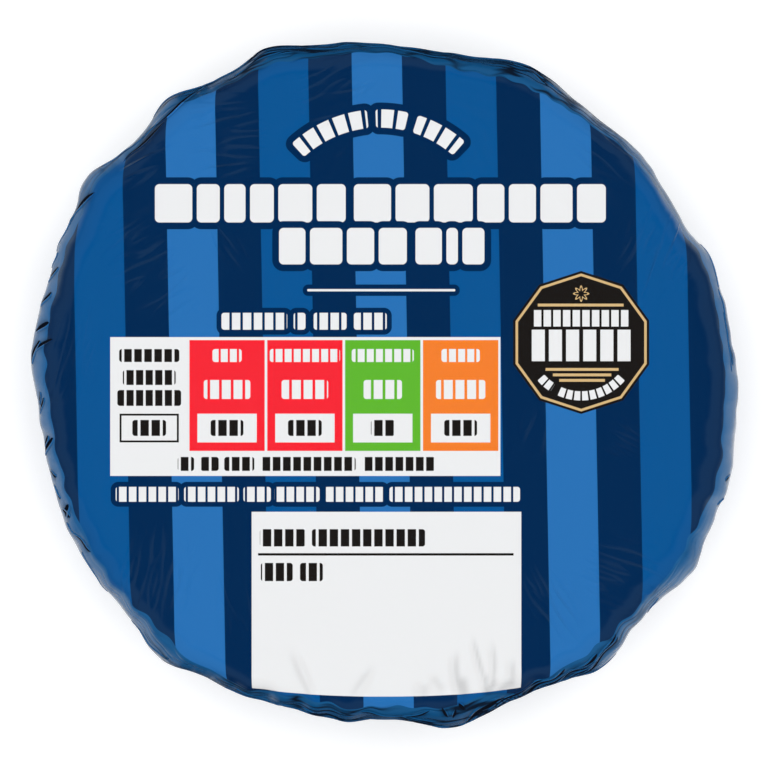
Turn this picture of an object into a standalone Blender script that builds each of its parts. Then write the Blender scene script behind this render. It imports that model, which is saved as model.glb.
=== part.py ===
"""An individual pork pie in its tight printed shrink film, standing on its flat base.

The pack is one closed solid. It starts as a turned blank, and each ring of the blank is then pushed
in and out so that it follows the pie that the film is drawn over: the uneven outline of its edge, and
the small crimps round its rim.

Units are metres. +Z is up, the origin is the centre of the base on the table, and +Y is the side
towards which the top of the print points.
"""

from math import atan2, cos, hypot, pi, radians, sin

import bpy

MM = 0.001

# Driving sizes.
CRIMPS = 60  # pinches of the pastry round the rim
STEPS_PER_CRIMP = 4
CRIMP_DEPTH = 0.35 * MM  # how far a full crimp stands out of, and sinks into, the rim
CRIMP_SOFTEST = radians(65)  # where round the rim the film hides the crimps best
EDGE_RADIUS = 38.5 * MM  # mean radius of the film where it is widest, just under the lid
LID_HEIGHT = 41.6 * MM  # table to the lid, away from the crests of the edge
EDGE_LIFT = 0.25  # height that a crest at the lid gains for each metre that it stands out
FILM_MERGE = 0.01 * MM  # only the points on the axis lie closer together than this

# Plan of the edge, anticlockwise from +X: each crest and dip as its angle in degrees and its radius
# in millimetres. Between two of them the outline eases from one to the other.
EDGE_TURNS = (
    (0, 39.05), (18, 38.75), (30, 37.55), (42, 38.2), (52, 37.7), (64.5, 38.55),
    (80, 37.2), (97, 37.95), (108.5, 39.25), (117.5, 38.25), (127.5, 39.55), (135.5, 38.6),
    (145.5, 40.05), (153, 39.1), (163, 38.85), (174.5, 39.2), (187, 38.25), (206, 38.4),
    (221, 37.95), (231, 39.1), (241, 37.9), (256, 37.35), (270, 37.0), (282, 38.5),
    (293, 37.65), (308.5, 39.5), (317.5, 38.65), (329.5, 40.05), (337, 39.5),
)

# The meridian, from the middle of the lid, over the edge and down to the middle of the base. Each
# ring has its mean radius and height in millimetres, then the share that it takes of the edge's
# waves, and of the crimps.
RINGS = (
    (0.0, 41.6, 0.0, 0.0),
    (25.0, 41.25, 0.0, 0.0),
    (31.0, 41.2, 0.1, 0.0),
    (34.0, 41.45, 0.2, 0.4),
    (35.6, 41.4, 0.35, 0.9),
    (36.8, 40.8, 0.5, 1.0),
    (37.7, 39.6, 0.75, 0.8),
    (38.3, 38.0, 0.95, 0.45),
    (38.5, 36.0, 1.0, 0.2),
    (38.4, 33.8, 1.0, 0.1),
    (38.05, 31.0, 0.9, 0.0),
    (37.7, 27.0, 0.7, 0.0),
    (37.45, 21.5, 0.5, 0.0),
    (37.2, 16.0, 0.45, 0.0),
    (36.6, 11.0, 0.4, 0.0),
    (35.5, 6.6, 0.35, 0.0),
    (33.8, 3.0, 0.25, 0.0),
    (31.8, 0.8, 0.2, 0.0),
    (30.0, 0.0, 0.1, 0.0),
    (0.0, 0.0, 0.0, 0.0),
)

PRINT_BLUE = (0.02, 0.09, 0.30, 1.0)


def edge_radius(angle):
    """Radius of the edge, in metres, at an angle in radians, eased from each turn to the next."""
    degrees = angle * 180 / pi % 360
    following = EDGE_TURNS[1:] + ((EDGE_TURNS[0][0] + 360, EDGE_TURNS[0][1]),)
    for (start, first), (end, second) in zip(EDGE_TURNS, following):
        if start <= degrees <= end:
            share = (1 - cos(pi * (degrees - start) / (end - start))) / 2
            return (first + (second - first) * share) * MM
    raise ValueError(f"no turn of the edge lies at {degrees} degrees")


def crimp(angle):
    """How far the crimps push the rim out at an angle in radians: a wave, softest on one side."""
    strength = 0.6 - 0.4 * cos(angle - CRIMP_SOFTEST)
    return CRIMP_DEPTH * strength * cos(CRIMPS * angle)


def film_material():
    """Glossy printed film, in the blue that covers most of it."""
    film = bpy.data.materials.new("printed_film")
    film.use_nodes = True
    shader = film.node_tree.nodes["Principled BSDF"]
    shader.inputs["Base Color"].default_value = PRINT_BLUE
    shader.inputs["Roughness"].default_value = 0.25
    shader.inputs["Metallic"].default_value = 0.0
    return film


def turned_blank(collection):
    """The meridian turned about Z: a closed body with one ring of points for each entry of RINGS."""
    profile = bpy.data.meshes.new("meridian")
    points = [(radius * MM, 0, height * MM) for radius, height, _, _ in RINGS]
    edges = [(i, i + 1) for i in range(len(points) - 1)]
    profile.from_pydata(points, edges, [])
    blank = bpy.data.objects.new("blank", profile)
    collection.objects.link(blank)
    screw = blank.modifiers.new("turn", "SCREW")
    screw.axis = "Z"
    screw.angle = radians(360)
    screw.steps = screw.render_steps = CRIMPS * STEPS_PER_CRIMP
    screw.use_merge_vertices = True
    screw.merge_threshold = FILM_MERGE
    return blank


def follow_edge(mesh):
    """Moves each point out or in by its ring's shares of the waves and crimps, and lifts the crests."""
    rings = {ring_key(radius, height): shares for radius, height, *shares in RINGS}
    for vertex in mesh.vertices:
        x, y, z = vertex.co
        radius = hypot(x, y)
        wave_share, crimp_share = rings[ring_key(radius / MM, z / MM)]
        if wave_share == 0:
            continue
        angle = atan2(y, x)
        wave = (edge_radius(angle) - EDGE_RADIUS) * wave_share
        radius += wave + crimp(angle) * crimp_share
        vertex.co.x = radius * cos(angle)
        vertex.co.y = radius * sin(angle)
        vertex.co.z = z + wave * EDGE_LIFT * z / LID_HEIGHT


def ring_key(radius, height):
    """What a ring is looked up by: its radius and height in millimetres, to the nearest micron."""
    return round(radius, 3), round(height, 3)


def wrapped_pie(collection):
    """The pack as one mesh object: the turned blank, following the crimped edge, shaded smooth."""
    blank = turned_blank(collection)
    graph = bpy.context.evaluated_depsgraph_get()
    mesh = bpy.data.meshes.new_from_object(blank.evaluated_get(graph))
    mesh.name = "wrapped_pie"
    bpy.data.objects.remove(blank)
    follow_edge(mesh)
    mesh.materials.append(film_material())
    mesh.shade_smooth()
    pie = bpy.data.objects.new("wrapped_pie", mesh)
    collection.objects.link(pie)
    return pie


def main():
    for leftover in list(bpy.data.objects):
        bpy.data.objects.remove(leftover)
    collection = bpy.data.collections.new("wrapped_pork_pie")
    bpy.context.scene.collection.children.link(collection)
    wrapped_pie(collection)


main()
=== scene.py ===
"""Looks of an individual pork pie in tight printed shrink film.

The film is one skin over an uneven, crimped pie. Every place on it has two coordinates: how far it
lies along the film from the middle of the lid, and its angle round the pie from +X. The meridian
and the outline turn those two into a point, the relief lifts the point off the smooth skin, and the
print is laid out on the same coordinates, so that it bends over the edge as the film does.

Sizes are in millimetres until they are put into a mesh. +Z is up, and +Y is the side towards which
the top of the print points.
"""

import itertools
import logging
from dataclasses import dataclass
from enum import Enum
from functools import cached_property
from math import cos, pi, radians, sin
from typing import Any

import bpy
import numpy as np
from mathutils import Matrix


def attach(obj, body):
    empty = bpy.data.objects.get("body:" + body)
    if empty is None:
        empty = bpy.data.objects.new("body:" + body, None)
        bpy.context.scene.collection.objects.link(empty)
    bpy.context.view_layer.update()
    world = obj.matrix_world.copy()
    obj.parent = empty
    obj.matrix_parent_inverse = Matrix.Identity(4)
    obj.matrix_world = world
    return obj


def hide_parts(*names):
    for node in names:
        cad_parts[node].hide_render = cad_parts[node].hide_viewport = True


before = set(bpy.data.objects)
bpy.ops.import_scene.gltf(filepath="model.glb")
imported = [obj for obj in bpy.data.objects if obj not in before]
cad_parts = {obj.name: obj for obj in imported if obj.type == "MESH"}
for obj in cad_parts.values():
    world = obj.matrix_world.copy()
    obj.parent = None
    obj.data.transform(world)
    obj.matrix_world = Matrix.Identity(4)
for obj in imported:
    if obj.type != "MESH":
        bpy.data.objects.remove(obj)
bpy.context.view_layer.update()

BODY = "root"
NODE = "wrapped_pie"
MM = 0.001

Array = np.ndarray
LOG = logging.getLogger("wrapped_pie")


def ease(share: Array) -> Array:
    """An S-shaped step: 3t^2 - 2t^3 of t held between 0 and 1.

    Args:
        share: where along the step each value lies, 0 at its foot and 1 at its top.

    Returns:
        The height of the step there, from 0 to 1.
    """
    held = np.clip(share, 0.0, 1.0)
    return held * held * (3.0 - 2.0 * held)


def between(value: Array, start: float, end: float) -> Array:
    """How far a value is through a stretch, eased, so 0 before start and 1 after end."""
    return ease((value - start) / (end - start))


def hump(value: Array, centre: float, width: float) -> Array:
    """A bell: e to the power of minus ((value - centre) / width) squared."""
    return np.exp(-(((value - centre) / width) ** 2))


@dataclass(frozen=True)
class Lumps:
    """A smooth random field with values from about -1 to 1.

    Random values stand at whole-number points of space, and between them the field eases from one
    to the next along each axis in turn.

    Attributes:
        seed: the number that the random values start from.
        side: how many points there are along each axis before the field repeats.
    """

    seed: int
    side: int = 32

    @cached_property
    def values(self) -> Array:
        """The values at the whole-number points."""
        return np.random.default_rng(self.seed).uniform(-1.0, 1.0, (self.side,) * 3)

    def __call__(self, x: Array, y: Array, z: Array) -> Array:
        """The field's values at points, whose coordinates are in cells of the field.

        Args:
            x: first coordinate of each point.
            y: second coordinate.
            z: third coordinate.

        Returns:
            One value for each point.
        """
        axes = [np.asarray(axis, float) for axis in (x, y, z)]
        cells = [np.floor(axis).astype(int) for axis in axes]
        shares = [ease(axis - cell) for axis, cell in zip(axes, cells)]
        total = np.zeros(np.broadcast(*axes).shape)
        for corner in itertools.product((0, 1), repeat=3):
            weight = np.ones_like(total)
            for step, share in zip(corner, shares):
                weight = weight * (share if step else 1.0 - share)
            index = tuple((cell + step) % self.side for cell, step in zip(cells, corner))
            total += weight * self.values[index]
        return total


# The film's surface ---------------------------------------------------------------------------


@dataclass(frozen=True)
class Eased:
    """A value that changes round the pie, easing from each turning point to the next.

    Attributes:
        turns: each turning point's angle in degrees, anticlockwise from +X, and its value.
        sharpness: 1 where crests are as round as dips, and more where they are sharper.
    """

    turns: tuple[tuple[float, float], ...]
    sharpness: float = 1.0

    def at(self, angle: Array) -> Array:
        """The value at angles in radians.

        From each dip to the next crest it climbs by half a cosine, raised to the sharpness.
        """
        degrees = np.degrees(angle) % 360
        first_angle, first_value = self.turns[0]
        ends = np.array([*self.turns, (first_angle + 360, first_value)], float)
        at, value = ends.T
        i = np.clip(np.searchsorted(at, degrees, side="right") - 1, 0, len(at) - 2)
        low, high = np.minimum(value[i], value[i + 1]), np.maximum(value[i], value[i + 1])
        swing = np.cos(pi * (degrees - at[i]) / (at[i + 1] - at[i])) * np.sign(value[i] - value[i + 1])
        return low + (high - low) * ((1 + swing) / 2) ** self.sharpness


@dataclass(frozen=True)
class Meridian:
    """The turned outline of the pack, from the middle of the lid round to the middle of the base.

    Attributes:
        rings: each ring's mean radius and height, and the share that it takes of the edge's waves
            and of the crimps. The base is drawn in a little, so that it rests on its rim.
    """

    rings: tuple[tuple[float, float, float, float], ...] = (
        (0.0, 41.6, 0.0, 0.0),
        (25.0, 41.25, 0.0, 0.0),
        (31.0, 41.2, 0.1, 0.0),
        (34.0, 41.45, 0.2, 0.4),
        (35.6, 41.4, 0.35, 0.9),
        (36.8, 40.8, 0.5, 1.0),
        (37.7, 39.6, 0.75, 0.8),
        (38.3, 38.0, 0.95, 0.45),
        (38.5, 36.0, 1.0, 0.2),
        (38.4, 33.8, 1.0, 0.1),
        (38.05, 31.0, 0.9, 0.0),
        (37.7, 27.0, 0.7, 0.0),
        (37.45, 21.5, 0.5, 0.0),
        (37.2, 16.0, 0.45, 0.0),
        (36.6, 11.0, 0.4, 0.0),
        (35.5, 6.6, 0.35, 0.0),
        (33.8, 3.0, 0.25, 0.0),
        (31.8, 0.8, 0.2, 0.0),
        (30.0, 0.0, 0.1, 0.0),
        (27.5, 0.15, 0.05, 0.0),
        (22.0, 0.4, 0.0, 0.0),
        (0.0, 0.5, 0.0, 0.0),
    )

    @cached_property
    def stations(self) -> Array:
        """How far along the film each ring lies from the middle of the lid."""
        radius, height = np.array(self.rings).T[:2]
        return np.concatenate([[0.0], np.cumsum(np.hypot(np.diff(radius), np.diff(height)))])

    @property
    def length(self) -> float:
        """The way along the film from the middle of the lid to the middle of the base."""
        return float(self.stations[-1])

    def at(self, along: Array) -> Array:
        """Radius, height, wave share and crimp share at places along the film.

        Between two rings each of the four follows the cubic whose slopes at the rings are those of
        the rings round them.

        Args:
            along: how far along the film each place lies.

        Returns:
            Four rows, one value in each for each place.
        """
        values = np.array(self.rings).T
        slopes = np.gradient(values, self.stations, axis=1)
        i = np.clip(np.searchsorted(self.stations, along) - 1, 0, len(self.stations) - 2)
        gap = self.stations[i + 1] - self.stations[i]
        t = np.clip((along - self.stations[i]) / gap, 0.0, 1.0)
        return (
            (2 * t**3 - 3 * t**2 + 1) * values[:, i]
            + (t**3 - 2 * t**2 + t) * gap * slopes[:, i]
            + (3 * t**2 - 2 * t**3) * values[:, i + 1]
            + (t**3 - t**2) * gap * slopes[:, i + 1]
        )


@dataclass(frozen=True)
class Edge:
    """The uneven, crimped edge of the pack, as seen from above.

    Attributes:
        radius: radius of the outline, from each crest and dip to the next.
        mean_radius: the radius that the waves are counted from.
        lift: height that a crest gains for each millimetre that it stands out.
        crimps: pinches of the pastry round the rim.
        crimp_depth: how far a full crimp stands out of, and sinks into, the rim.
        softest: the angle in degrees where the film hides the crimps best.
        tightness: the field that makes one crimp show more than another.
    """

    radius: Eased = Eased((
        (0, 39.05), (10, 38.75), (20, 38.85), (30, 37.6), (42, 38.2), (52, 37.7), (64.5, 38.55),
        (80, 37.2), (97, 37.85), (109.5, 39.2), (117.5, 38.25), (127.5, 39.55), (135.5, 38.6),
        (146, 40.05), (153, 39.2), (163, 38.9), (174.5, 39.2), (187, 38.25), (206, 38.4),
        (220, 38.1), (231, 39.15), (241, 37.95), (256, 37.3), (263, 37.5), (270, 37.05), (282, 38.5),
        (293, 37.7), (309.5, 39.55), (317.5, 38.7), (329.5, 40.05), (336, 39.5), (343, 39.75),
    ), sharpness=1.6)
    mean_radius: float = 38.5
    lift: float = 0.25
    crimps: int = 60
    crimp_depth: float = 0.35
    softest: float = 65.0
    tightness: Lumps = Lumps(15)

    def wave(self, angle: Array) -> Array:
        """How far the outline stands out of its mean radius at angles in radians."""
        return self.radius.at(angle) - self.mean_radius

    def strength(self, angle: Array) -> Array:
        """How clearly the crimps show through the film: least where softest, and uneven."""
        uneven = 0.4 + 0.45 * self.tightness(6 * np.cos(angle), 6 * np.sin(angle), 0.5)
        return (0.6 - 0.4 * np.cos(angle - radians(self.softest))) * uneven

    def crimp(self, angle: Array) -> Array:
        """How far the crimps push the rim out at an angle: a cosine with a crest for each crimp."""
        return self.crimp_depth * self.strength(angle) * np.cos(self.crimps * angle)


@dataclass(frozen=True)
class Crease:
    """One soft crease across the lid.

    Attributes:
        x: middle of the crease, to the right of the lid's middle.
        y: middle of the crease, towards the top of the print.
        heading: direction that it runs in, in degrees from +X.
        length: from end to end.
        width: half the width of its ridge.
        height: how far it stands up, or sinks in where negative.
        bend: how far its ends turn to the left of its heading.
        shade: how much painted shade the hollow along its left side gets, from 0 to 1.
    """

    x: float
    y: float
    heading: float
    length: float
    width: float = 0.4
    height: float = 0.1
    bend: float = 0.0
    shade: float = 0.0

    def of(self, x: Array, y: Array) -> tuple[Array, Array]:
        """What the crease does to the film.

        Its ridge is a bell across it, times a flat-topped bell along it, and its hollow is such a
        bell beside the ridge.

        Args:
            x: places to the right of the lid's middle.
            y: places towards the top of the print.

        Returns:
            How far the crease lifts the film at each place, and how much painted shade it gets.
        """
        turn = radians(self.heading)
        ahead = (x - self.x) * cos(turn) + (y - self.y) * sin(turn)
        half = self.length / 2
        aside = (y - self.y) * cos(turn) - (x - self.x) * sin(turn) - self.bend * (ahead / half) ** 2
        fade = np.exp(-((ahead / half) ** 4))
        ridge, hollow = hump(aside, 0.0, self.width), hump(aside, self.width, self.width)
        # The hollow beside the ridge gets painted shade.
        return self.height * ridge * fade, self.shade * hollow * fade


class TuckShape(Enum):
    """How the width of a tuck changes from its start, 0, to its end, 1."""

    SPINDLE = "slim towards its ends"
    BLUNT = "wide almost to its ends"

    def width(self, share: Array) -> Array:
        """The share of a tuck's full width at each share of its length."""
        power = 0.7 if self is TuckShape.SPINDLE else 0.4
        return np.sin(pi * share) ** power


@dataclass(frozen=True)
class Tuck:
    """One sharp fold where the film doubles over itself.

    Attributes:
        start: where it starts, as its angle in degrees and how far along the film.
        end: where it ends, in the same way.
        width: its full width.
        sway: how far its two halves stray along the film, one down and one up, from the straight
            line between its ends.
        shape: how its width changes along it.
        bow: how far its middle lies along the film from that straight line.
    """

    start: tuple[float, float]
    end: tuple[float, float]
    width: float = 0.4
    sway: float = 0.1
    shape: TuckShape = TuckShape.SPINDLE
    bow: float = 0.0

    PER_DEGREE = 0.67  # millimetres for each degree round the rim

    def near(self, along: Array, degrees: Array) -> tuple[Array, ...]:
        """Index of the places that lie no more than 3 millimetres or so from the fold."""
        middle, level = ((a + b) / 2 for a, b in zip(self.start, self.end))
        spread, fall = (abs(a - b) / 2 + 4 for a, b in zip(self.start, self.end))
        off = np.abs((degrees - middle + 180) % 360 - 180)
        return np.nonzero((off < spread) & (np.abs(along - level) < fall))

    def beside(self, along: Array, degrees: Array) -> tuple[Array, Array]:
        """Where places lie beside the fold.

        Args:
            along: how far along the film each place lies.
            degrees: its angle.

        Returns:
            The share of the fold's length that each place is level with, and how far it lies to the
            fold's lower side.
        """
        run = (self.end[0] - self.start[0]) * self.PER_DEGREE
        fall = self.end[1] - self.start[1]
        length = float(np.hypot(run, fall))
        round_ = ((degrees - self.start[0] + 180) % 360 - 180) * self.PER_DEGREE
        down = along - self.start[1]
        share = (round_ * run + down * fall) / length**2
        side = 1.0 if run > 0 else -1.0
        stray = self.sway * np.sin(2 * pi * share) + self.bow * np.sin(pi * share)
        return share, side * (down * run - round_ * fall) / length - stray


@dataclass(frozen=True)
class Drape:
    """One long soft fold down the wall.

    Attributes:
        at: the angle in degrees that it starts at.
        top: how far along the film it starts.
        foot: how far along the film it ends.
        lean: how many degrees it has turned by its foot.
        width: half the width of its ridge.
        height: how far it stands out.
    """

    at: float
    top: float
    foot: float
    lean: float
    width: float
    height: float

    def lift(self, along: Array, degrees: Array) -> Array:
        """The fold's ridge: a bell across it, which fades in and out down its length."""
        share = (along - self.top) / (self.foot - self.top)
        off = (degrees - self.at - self.lean * share + 180) % 360 - 180
        fade = ease(share / 0.35) * ease((1 - share) / 0.5)
        return self.height * fade * hump(off * 0.65, 0.0, self.width)


@dataclass(frozen=True)
class Skin:
    """The film's surface: points and normals for places on it, with all its relief.

    A place is how far it lies along the film from the middle of the lid, and its angle in radians.

    Attributes:
        creases: soft creases of the lid.
        tucks: sharp folds, beside which the skin is drawn up a little.
        drapes: soft folds down the wall.
        meridian: the turned outline.
        edge: the outline seen from above.
        lumps: the field behind the pastry's lumps.
        ripples: the field behind the crinkles and gathers.
        patches: the field that keeps the crinkles in patches.
        step: how far off a place the slopes of the smooth skin are measured.
        drawn_in: how far the wall's relief is drawn in as a whole.
    """

    creases: tuple[Crease, ...]
    tucks: tuple[Tuck, ...]
    drapes: tuple[Drape, ...]
    meridian: Meridian = Meridian()
    edge: Edge = Edge()
    lumps: Lumps = Lumps(11)
    ripples: Lumps = Lumps(12)
    patches: Lumps = Lumps(13)
    step: float = 0.05
    drawn_in: float = 0.06

    def smooth(self, along: Array, angle: Array) -> Array:
        """The skin without its relief.

        The radius is the meridian's, plus its share of the edge's waves and of the crimps, and the
        height is the meridian's, plus the lift of the waves, which fades towards the table.

        Args:
            along: how far along the film each place lies.
            angle: its angle in radians.

        Returns:
            One row of x, y and z for each place.
        """
        shape = np.shape(along)
        values = self.meridian.at(np.ravel(along)).reshape(4, *shape)
        radius, height, wave_share, crimp_share = values
        wave = self.edge.wave(angle) * wave_share
        radius = radius + wave + self.edge.crimp(angle) * crimp_share
        height = height + wave * self.edge.lift * height / self.meridian.rings[0][1]
        return np.stack([radius * np.cos(angle), radius * np.sin(angle), height], -1)

    def normal(self, along: Array, angle: Array) -> Array:
        """Outward normals of the smooth skin: the cross product of its slopes along and round it."""
        turn = self.step / 30.0
        start = np.maximum(along - self.step, 0.02)
        end = np.minimum(along + self.step, self.meridian.length - 0.02)
        down = self.smooth(end, angle) - self.smooth(start, angle)
        place = np.clip(along, 0.5, self.meridian.length - 0.5)
        round_ = self.smooth(place, angle + turn) - self.smooth(place, angle - turn)
        across = np.cross(down, round_)
        return across / np.linalg.norm(across, axis=-1, keepdims=True)

    def relief(self, along: Array, angle: Array) -> Array:
        """How far the film stands off the smooth skin.

        Args:
            along: how far along the film each place lies.
            angle: its angle in radians.

        Returns:
            The sum of the pastry's lumps, the creases, the folds under the rim, the drapes down the
            wall and the gathers round the base.
        """
        x, y, z = np.moveaxis(self.smooth(along, angle), -1, 0)
        flat_x, flat_y = along * np.cos(angle), along * np.sin(angle)
        lid = 1.0 - between(along, 33.0, 38.0)
        wall = between(along, 39.0, 46.0) * (1.0 - between(along, 76.0, 84.0))
        rim = between(along, 29.0, 35.0) * (1.0 - between(along, 38.5, 43.0))
        foot = between(along, 76.0, 84.0)
        total = 0.13 * self.lumps(x / 9, y / 9, z / 9) * (1.0 - 0.7 * foot)
        total += 0.14 * rim * self.patches(x / 2.6, y / 2.6, z / 3.5)
        total += 0.16 * wall * self.lumps(x / 5 + 9, y / 5, z / 7)
        total += self.crinkle(along, angle) * (lid * between(along, 8.0, 30.0) + 0.8 * wall)
        total += lid * sum(crease.of(flat_x, flat_y)[0] for crease in self.creases)
        total += sum(drape.lift(along, np.degrees(angle)) for drape in self.drapes)
        total += self.tucked(along, angle)[0] - self.drawn_in * between(along, 37.0, 39.0) * (1 - foot)
        return total + self.wrinkles(along, angle) + self.gathers(along, angle)

    def crinkle(self, along: Array, angle: Array) -> Array:
        """Low ridges that run round the pie: the sharp zero lines of a field stretched round it.

        The field is read where the way along the film, and a circle that stands for the angle, make
        a point in space. A second field keeps the ridges in patches.
        """
        turn_x, turn_y = 4.2 * np.cos(angle), 4.2 * np.sin(angle)
        stray = self.lumps(turn_x + 3, turn_y, along / 9)
        field = self.ripples(along / 2.1 + 1.6 * stray, turn_x, turn_y)
        patch = between(self.patches(along / 7, turn_x * 0.8, turn_y * 0.8), -0.2, 0.5)
        return 0.11 * patch * (0.5 - np.abs(field))

    def tucked(self, along: Array, angle: Array) -> tuple[Array, Array]:
        """What the tucks do to the film beside them.

        Above a tuck the film is drawn up into a soft ridge, and below it lies a valley. Both are
        bells across the tuck that fade towards its ends. The valley is also in shade.

        Args:
            along: how far along the film each place lies.
            angle: its angle in radians.

        Returns:
            How far the film is lifted, and how much painted shade it gets, from 0 to 1.
        """
        lift = np.zeros(np.shape(along))
        shade = np.zeros_like(lift)
        degrees = np.degrees(angle)
        for tuck in self.tucks:
            near = tuck.near(along, degrees)
            share, below = tuck.beside(along[near], degrees[near])
            fade = ease(share / 0.2) * ease((1 - share) / 0.2)
            lift[near] += 0.06 * fade * (hump(below, -0.4, 0.4) - hump(below, 0.4, 0.45))
            # Painted shade in the valley below the tuck.
            dark = (0.55 + 0.2 * tuck.width) * fade * hump(below, 0.1, 0.25 + 0.4 * tuck.width)
            shade[near] = np.maximum(shade[near], dark)
        return lift, shade

    def shade(self, along: Array, angle: Array) -> Array:
        """Painted shade of the film: in a valley below a tuck, and in the hollows beside creases."""
        flat_x, flat_y = along * np.cos(angle), along * np.sin(angle)
        hollows = sum(crease.of(flat_x, flat_y)[1] for crease in self.creases if crease.shade)
        return np.clip(self.tucked(along, angle)[1] + hollows, 0.0, 1.0)

    def wrinkles(self, along: Array, angle: Array) -> Array:
        """Short wrinkles over the rim that run down it, or round it where the film is gathered.

        Both are a field that is stretched one way. The gathered parts are the top and the bottom of
        the print, so the sine of the angle chooses between them.
        """
        band = between(along, 33.5, 37.5) * (1.0 - between(along, 46.0, 56.0))
        gathered = np.sin(angle) ** 2
        down = self.ripples(26 * np.cos(angle), 26 * np.sin(angle), along / 4.5)
        round_ = self.ripples(7 * np.cos(angle), 7 * np.sin(angle), along / 1.2)
        return band * (0.14 * (1 - gathered) * down + 0.1 * gathered * round_)

    def gathers(self, along: Array, angle: Array) -> Array:
        """Pleats where the film draws in under the base: ridges of uneven pitch, deepest at the foot."""
        share = hump(along, self.meridian.length - 29.0, 7.0)
        stray = self.ripples(2 * np.cos(angle), 2 * np.sin(angle), along / 14)
        ridges = np.cos(64 * angle + 5 * stray) * (0.6 + 0.4 * np.cos(23 * angle + 2 * stray))
        return 0.16 * share * (ridges - 0.9)

    def point(self, along: Array, angle: Array, lift: Array | float = 0.0) -> Array:
        """Points of the finished skin, or off it along its normals.

        Args:
            along: how far along the film each place lies.
            angle: its angle in radians.
            lift: how far off the skin the points are.

        Returns:
            One row of x, y and z for each place, none of them below the table.
        """
        off = self.relief(along, angle) + lift
        points = self.smooth(along, angle) + self.normal(along, angle) * off[..., None]
        points[..., 2] = np.maximum(points[..., 2], 0.0)
        return points


# Meshes ---------------------------------------------------------------------------------------


@dataclass(frozen=True)
class StreakFan:
    """A patch of fine, nearly parallel creases across the lid.

    Attributes:
        x: middle of the patch.
        y: middle of the patch.
        heading: direction that the creases run in, in degrees from +X.
        length: half the patch's length, along the creases.
        width: half its width.
        strength: how high its creases stand, as a share of the usual.
    """

    x: float
    y: float
    heading: float
    length: float
    width: float
    strength: float = 1.0

    def frame(self, x: Array, y: Array) -> Array:
        """Lays out places in the patch's own directions.

        The weight fades with the square of the distance from the middle, counted in half lengths
        and widths, and is negative outside. The way ahead is counted from a start of the patch's
        own, so that no two patches have the same creases.

        Args:
            x: place on the flat film to the right of its middle.
            y: place on the flat film towards the top of the print.

        Returns:
            One row for each place: how far it lies ahead, how far aside, and the patch's weight.
        """
        turn = radians(self.heading)
        right, up = x - self.x, y - self.y
        ahead, aside = right * cos(turn) + up * sin(turn), up * cos(turn) - right * sin(turn)
        weight = 1.0 - (ahead / self.length) ** 2 - (aside / self.width) ** 2
        return np.stack([ahead + 20.0 * self.x, aside, weight * self.strength], -1)


@dataclass(frozen=True)
class FilmCoordinates:
    """Coordinates for the print, as a vector for each point of a mesh.

    The first two are x and y on the flat film: the point's own x and y, moved outwards by as much
    as the way along the film is longer than the meridian's radius. The third is how far a point
    lies outside the printed disc, whose edge is scalloped where the film is pulled.

    Attributes:
        reach: how far along the film the disc reaches.
        scallops: small scallops round the disc.
        depth: how far a scallop stands out.
        stray: the field that makes the scallops uneven.
        fans: patches of fine creases.
    """

    NAME = "film"
    reach: Eased = Eased((
        (0, 37.4), (30, 37.9), (45, 37.2), (66, 36.1), (76, 35.95), (92, 37.0), (107, 36.8),
        (120, 37.6), (136, 38.3), (146, 37.8), (157, 38.3), (176, 37.1), (200, 36.85),
        (218, 37.2), (229, 36.35), (236, 37.2), (246, 37.5), (248, 37.0), (251, 36.35), (255, 35.95),
        (259, 35.8), (264, 36.3), (271, 36.0), (280, 36.1), (288, 36.1), (294, 37.6), (300, 37.0), (308, 36.7), (320, 37.3), (329, 36.9), (342, 37.6),
    ))
    scallops: int = 76
    depth: float = 0.18
    stray: Lumps = Lumps(16)
    fans: tuple[StreakFan, ...] = (
        StreakFan(-25.9, 13.0, 36, 4.0, 8.0),
        StreakFan(-17.2, 27.0, 6, 4.5, 6.5),
        StreakFan(-5.2, 31.5, 25, 5.0, 4.5),
        StreakFan(26.2, -20.8, -20, 5.0, 5.0),
        StreakFan(18.4, -23.5, -60, 5.5, 2.9),
        StreakFan(-16.8, 14.8, -50, 3.5, 2.0, 0.7),
        StreakFan(-5.2, 24.0, 60, 2.2, 1.6, 0.8),
        StreakFan(30.0, 14.5, 60, 5.5, 5.5),
        StreakFan(-24.8, -20.5, 80, 6.0, 5.0),
        StreakFan(-34.0, 3.0, 75, 7.0, 3.5, 0.6),
        StreakFan(25.0, 25.0, -40, 5.0, 4.0, 0.6),
        StreakFan(15.7, -6.5, 75, 4.5, 3.0, 0.8),
        StreakFan(26.0, -6.0, -30, 3.0, 2.5, 0.8),
        StreakFan(-26.0, 24.0, 35, 3.5, 3.5),
        StreakFan(-16.3, -24.0, -75, 5.0, 2.5, 0.7),
    )

    def of(self, skin: Skin, along: Array, angle: Array, points: Array) -> Array:
        """The coordinates of places on the film.

        Args:
            skin: the surface.
            along: how far along the film each place lies.
            angle: its angle in radians.
            points: one row of x, y and z for each place.

        Returns:
            One row for each place.
        """
        turned = skin.meridian.at(along.ravel())[0].reshape(along.shape)
        radius = np.hypot(points[..., 0], points[..., 1]) + along - turned
        turn_x, turn_y = np.cos(angle), np.sin(angle)
        slow, quick = self.stray(5 * turn_x, 5 * turn_y, 0.5), self.stray(15 * turn_x, 15 * turn_y, 0.5)
        scallop = np.cos(self.scallops * angle + 5 * slow) * (0.6 + 0.4 * slow)
        past = along - self.reach.at(angle) - self.depth * (scallop + quick)
        return np.stack([radius * turn_x, radius * turn_y, past], -1)

    def streaks(self, film: Array) -> Array:
        """For each place on the film, the row of the fan that weighs most there."""
        rows = np.stack([fan.frame(film[:, 0], film[:, 1]) for fan in self.fans])
        chosen = rows[rows[..., 2].argmax(axis=0), np.arange(len(film))]
        return np.maximum(chosen, (-np.inf, -np.inf, 0.0))


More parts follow.
